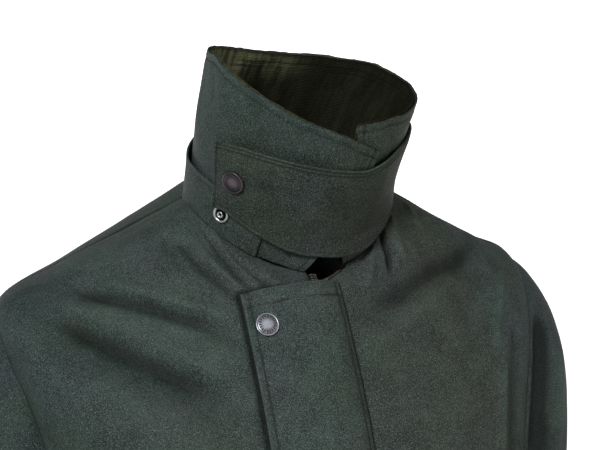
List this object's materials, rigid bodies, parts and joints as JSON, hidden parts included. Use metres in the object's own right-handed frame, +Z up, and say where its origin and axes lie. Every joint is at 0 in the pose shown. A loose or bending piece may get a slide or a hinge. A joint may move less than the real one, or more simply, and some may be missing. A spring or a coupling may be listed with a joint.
{
  "type": "waxed cotton jacket",
  "caption": "Waxed cotton jacket, closed and filled out as worn, with a stand-up collar, throat strap, storm flap over the zip and set-in sleeves.",
  "frame": {"origin": "in the middle of the neck seam, between the wearer's shoulders, where the wearer holds the jacket up", "axes": "+Z up, the jacket faces -Y, the wearer's left is +X"},
  "size_m": [0.597, 0.33, 0.8883],
  "materials": {
    "front_right": "matt waxed cotton, dark green",
    "front_left": "matt waxed cotton, dark green",
    "back": "matt waxed cotton, dark green",
    "sleeve_right_top": "matt waxed cotton, dark green",
    "sleeve_right_under": "matt waxed cotton, dark green",
    "sleeve_left_top": "matt waxed cotton, dark green",
    "sleeve_left_under": "matt waxed cotton, dark green",
    "collar": "matt waxed cotton, dark green",
    "stud_band": "matt waxed cotton, dark green",
    "throat_strap": "matt waxed cotton, dark green",
    "storm_flap": "matt waxed cotton, dark green",
    "collar_lining": "fine-waled cotton corduroy, dark olive",
    "zip_tape_right": "woven zip tape",
    "zip_tape_left": "woven zip tape",
    "zip_slider": "satin nickelled",
    "flap_stud_1": "bright nickelled steel",
    "flap_stud_2": "bright nickelled steel",
    "flap_stud_3": "bright nickelled steel",
    "flap_stud_4": "bright nickelled steel",
    "flap_stud_5": "bright nickelled steel",
    "flap_stud_6": "bright nickelled steel",
    "flap_stud_7": "bright nickelled steel",
    "strap_stud": "darkened nickelled steel",
    "band_stud": "bright nickelled steel",
    "zip_pull": "satin nickelled"
  },
  "bodies": {
    "jacket": {"front_right": "front_right", "front_left": "front_left", "back": "back", "sleeve_right_top": "sleeve_right_top", "sleeve_right_under": "sleeve_right_under", "sleeve_left_top": "sleeve_left_top", "sleeve_left_under": "sleeve_left_under", "collar": "collar", "stud_band": "stud_band", "throat_strap": "throat_strap", "storm_flap": "storm_flap", "collar_lining": "collar_lining", "zip_tape_right": "zip_tape_right", "zip_tape_left": "zip_tape_left", "zip_slider": "zip_slider", "flap_stud_1": "flap_stud_1", "flap_stud_2": "flap_stud_2", "flap_stud_3": "flap_stud_3", "flap_stud_4": "flap_stud_4", "flap_stud_5": "flap_stud_5", "flap_stud_6": "flap_stud_6", "flap_stud_7": "flap_stud_7", "strap_stud": "strap_stud", "band_stud": "band_stud"},
    "pull_tab": {"zip_pull": "zip_pull"}
  },
  "joints": [
    {"name": "zip_pull_hinge", "type": "hinge", "parent": "jacket", "child": "pull_tab", "pos_m": [-0.00804, -0.08429, -0.05701], "axis": [-0.9999, 0.0127, 0], "range_deg": [0, 7]}
  ]
}
